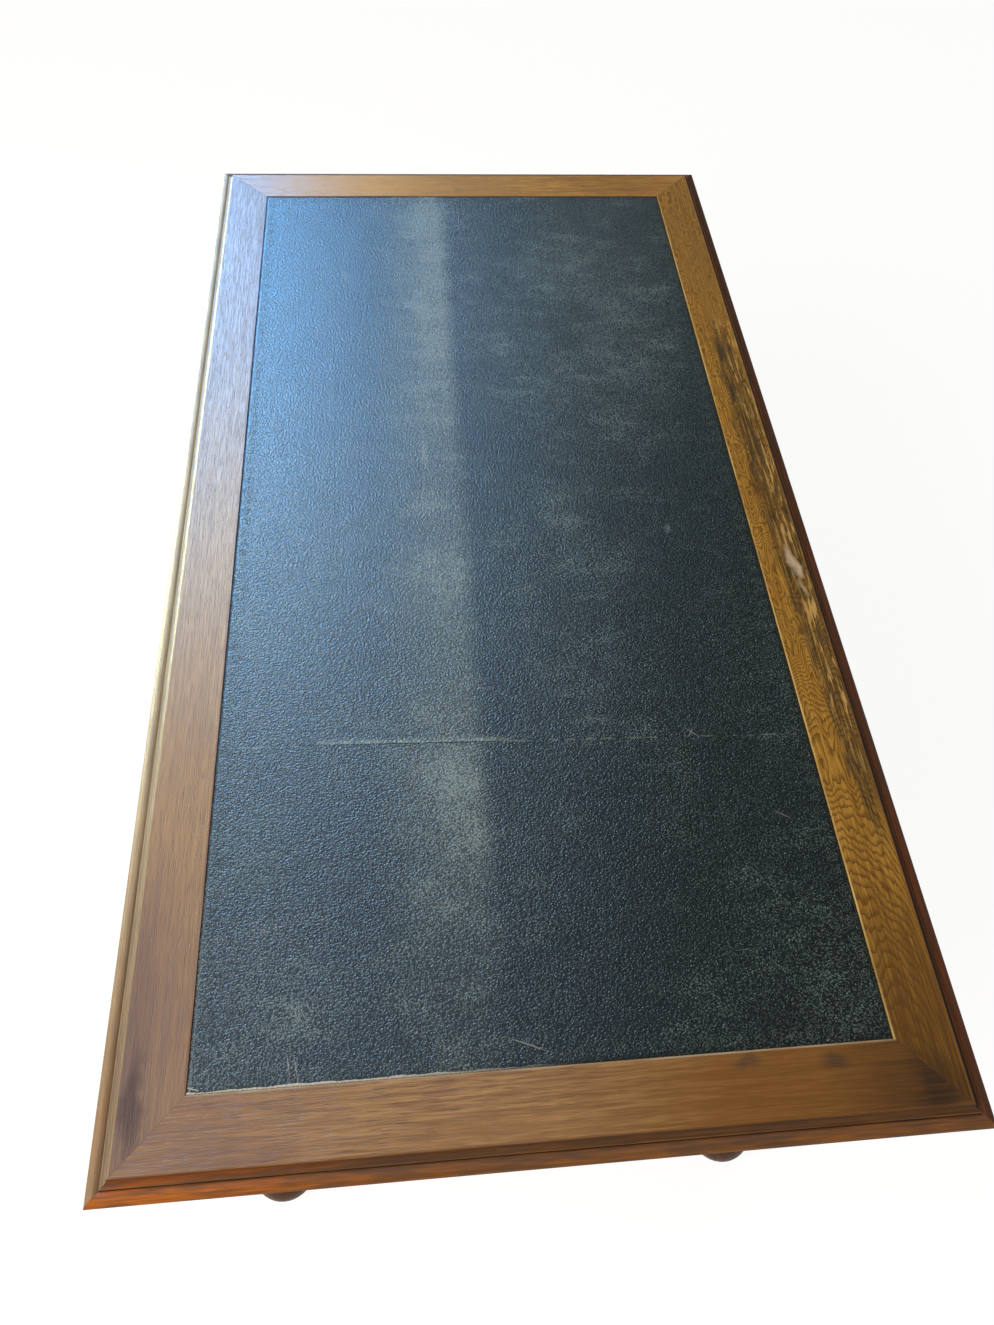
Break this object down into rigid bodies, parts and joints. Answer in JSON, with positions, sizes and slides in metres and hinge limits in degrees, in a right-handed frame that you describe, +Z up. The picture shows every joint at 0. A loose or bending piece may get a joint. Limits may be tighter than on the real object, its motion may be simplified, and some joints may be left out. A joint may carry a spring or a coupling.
{
  "type": "flat-topped writing desk",
  "caption": "Flat-topped oak writing desk with a leather top in a moulded mitred frame, frieze drawers, turned legs, bun feet and an H stretcher.",
  "frame": {"origin": "on the floor, midway between the four feet", "axes": "+X to the right along the length, -Y towards the person who sits at the drawers, +Z up"},
  "size_m": [1.469, 0.8, 0.76],
  "materials": {
    "oak_top": "worn waxed oak",
    "oak_base": "dark stained oak",
    "oak_inner": "unfinished oak",
    "leather": "pebbled, worn",
    "brass": "aged",
    "steel": "dull"
  },
  "bodies": {
    "desk": {"top_rail_front": "oak_top", "top_rail_back": "oak_top", "top_rail_left": "oak_top", "top_rail_right": "oak_top", "leg_front_left": "oak_base", "leg_front_right": "oak_base", "leg_back_left": "oak_base", "leg_back_right": "oak_base", "bun_feet": "oak_base", "stretcher_left": "oak_base", "stretcher_right": "oak_base", "stretcher_centre": "oak_base", "apron_left": "oak_base", "apron_right": "oak_base", "apron_back": "oak_base", "front_top_rail": "oak_base", "lower_rail_left": "oak_base", "lower_rail_right": "oak_base", "lower_rail_centre": "oak_base", "muntin_left": "oak_base", "muntin_right": "oak_base", "core_panel": "oak_inner", "mitre_tongues": "oak_inner", "partition_left": "oak_inner", "partition_right": "oak_inner", "side_runners": "oak_inner", "centre_runners": "oak_inner", "side_guides": "oak_inner", "kickers": "oak_inner", "drawer_stops": "oak_inner", "top_buttons": "oak_inner", "leather_short": "leather", "leather_long": "leather", "top_screws": "steel"},
    "left_drawer": {"drawer_left_front": "oak_base", "drawer_left_side_left": "oak_inner", "drawer_left_side_right": "oak_inner", "drawer_left_back": "oak_inner", "drawer_left_bottom": "oak_inner", "pull_plate_left": "brass"},
    "centre_drawer": {"drawer_centre_front": "oak_base", "drawer_centre_side_left": "oak_inner", "drawer_centre_side_right": "oak_inner", "drawer_centre_back": "oak_inner", "drawer_centre_bottom": "oak_inner", "pull_plate_centre": "brass", "lock_case": "steel", "escutcheon": "brass"},
    "right_drawer": {"drawer_right_front": "oak_base", "drawer_right_side_left": "oak_inner", "drawer_right_side_right": "oak_inner", "drawer_right_back": "oak_inner", "drawer_right_bottom": "oak_inner", "pull_plate_right": "brass"},
    "left_pull": {"drop_left": "brass"},
    "centre_left_pull": {"drop_centre_left": "brass"},
    "centre_right_pull": {"drop_centre_right": "brass"},
    "right_pull": {"drop_right": "brass"},
    "key": {"drawer_key": "steel"},
    "bolt": {"lock_bolt": "steel"}
  },
  "joints": [
    {"name": "left_drawer_slide", "type": "slide", "parent": "desk", "child": "left_drawer", "axis": [0, -1, 0], "range_m": [0, 0.45]},
    {"name": "centre_drawer_slide", "type": "slide", "parent": "desk", "child": "centre_drawer", "axis": [0, -1, 0], "range_m": [0, 0.45]},
    {"name": "right_drawer_slide", "type": "slide", "parent": "desk", "child": "right_drawer", "axis": [0, -1, 0], "range_m": [0, 0.45]},
    {"name": "left_pull_swing", "type": "hinge", "parent": "left_drawer", "child": "left_pull", "pos_m": [-0.4705, -0.389, 0.677], "axis": [-1, 0, 0], "range_deg": [0, 85]},
    {"name": "centre_left_pull_swing", "type": "hinge", "parent": "centre_drawer", "child": "centre_left_pull", "pos_m": [-0.165, -0.389, 0.692], "axis": [-1, 0, 0], "range_deg": [0, 85]},
    {"name": "centre_right_pull_swing", "type": "hinge", "parent": "centre_drawer", "child": "centre_right_pull", "pos_m": [0.165, -0.389, 0.692], "axis": [-1, 0, 0], "range_deg": [0, 85]},
    {"name": "right_pull_swing", "type": "hinge", "parent": "right_drawer", "child": "right_pull", "pos_m": [0.4705, -0.389, 0.677], "axis": [-1, 0, 0], "range_deg": [0, 85]},
    {"name": "key_turn", "type": "hinge", "parent": "centre_drawer", "child": "key", "pos_m": [0, -0.38, 0.6848], "axis": [0, -1, 0], "range_deg": [0, 180]},
    {"name": "bolt_throw", "type": "slide", "parent": "centre_drawer", "child": "bolt", "axis": [0, 0, 1], "range_m": [0, 0.006]}
  ],
  "couplings": [
    {"joint": "bolt_throw", "follows": "key_turn", "m_per_rad": 0.0019098}
  ]
}
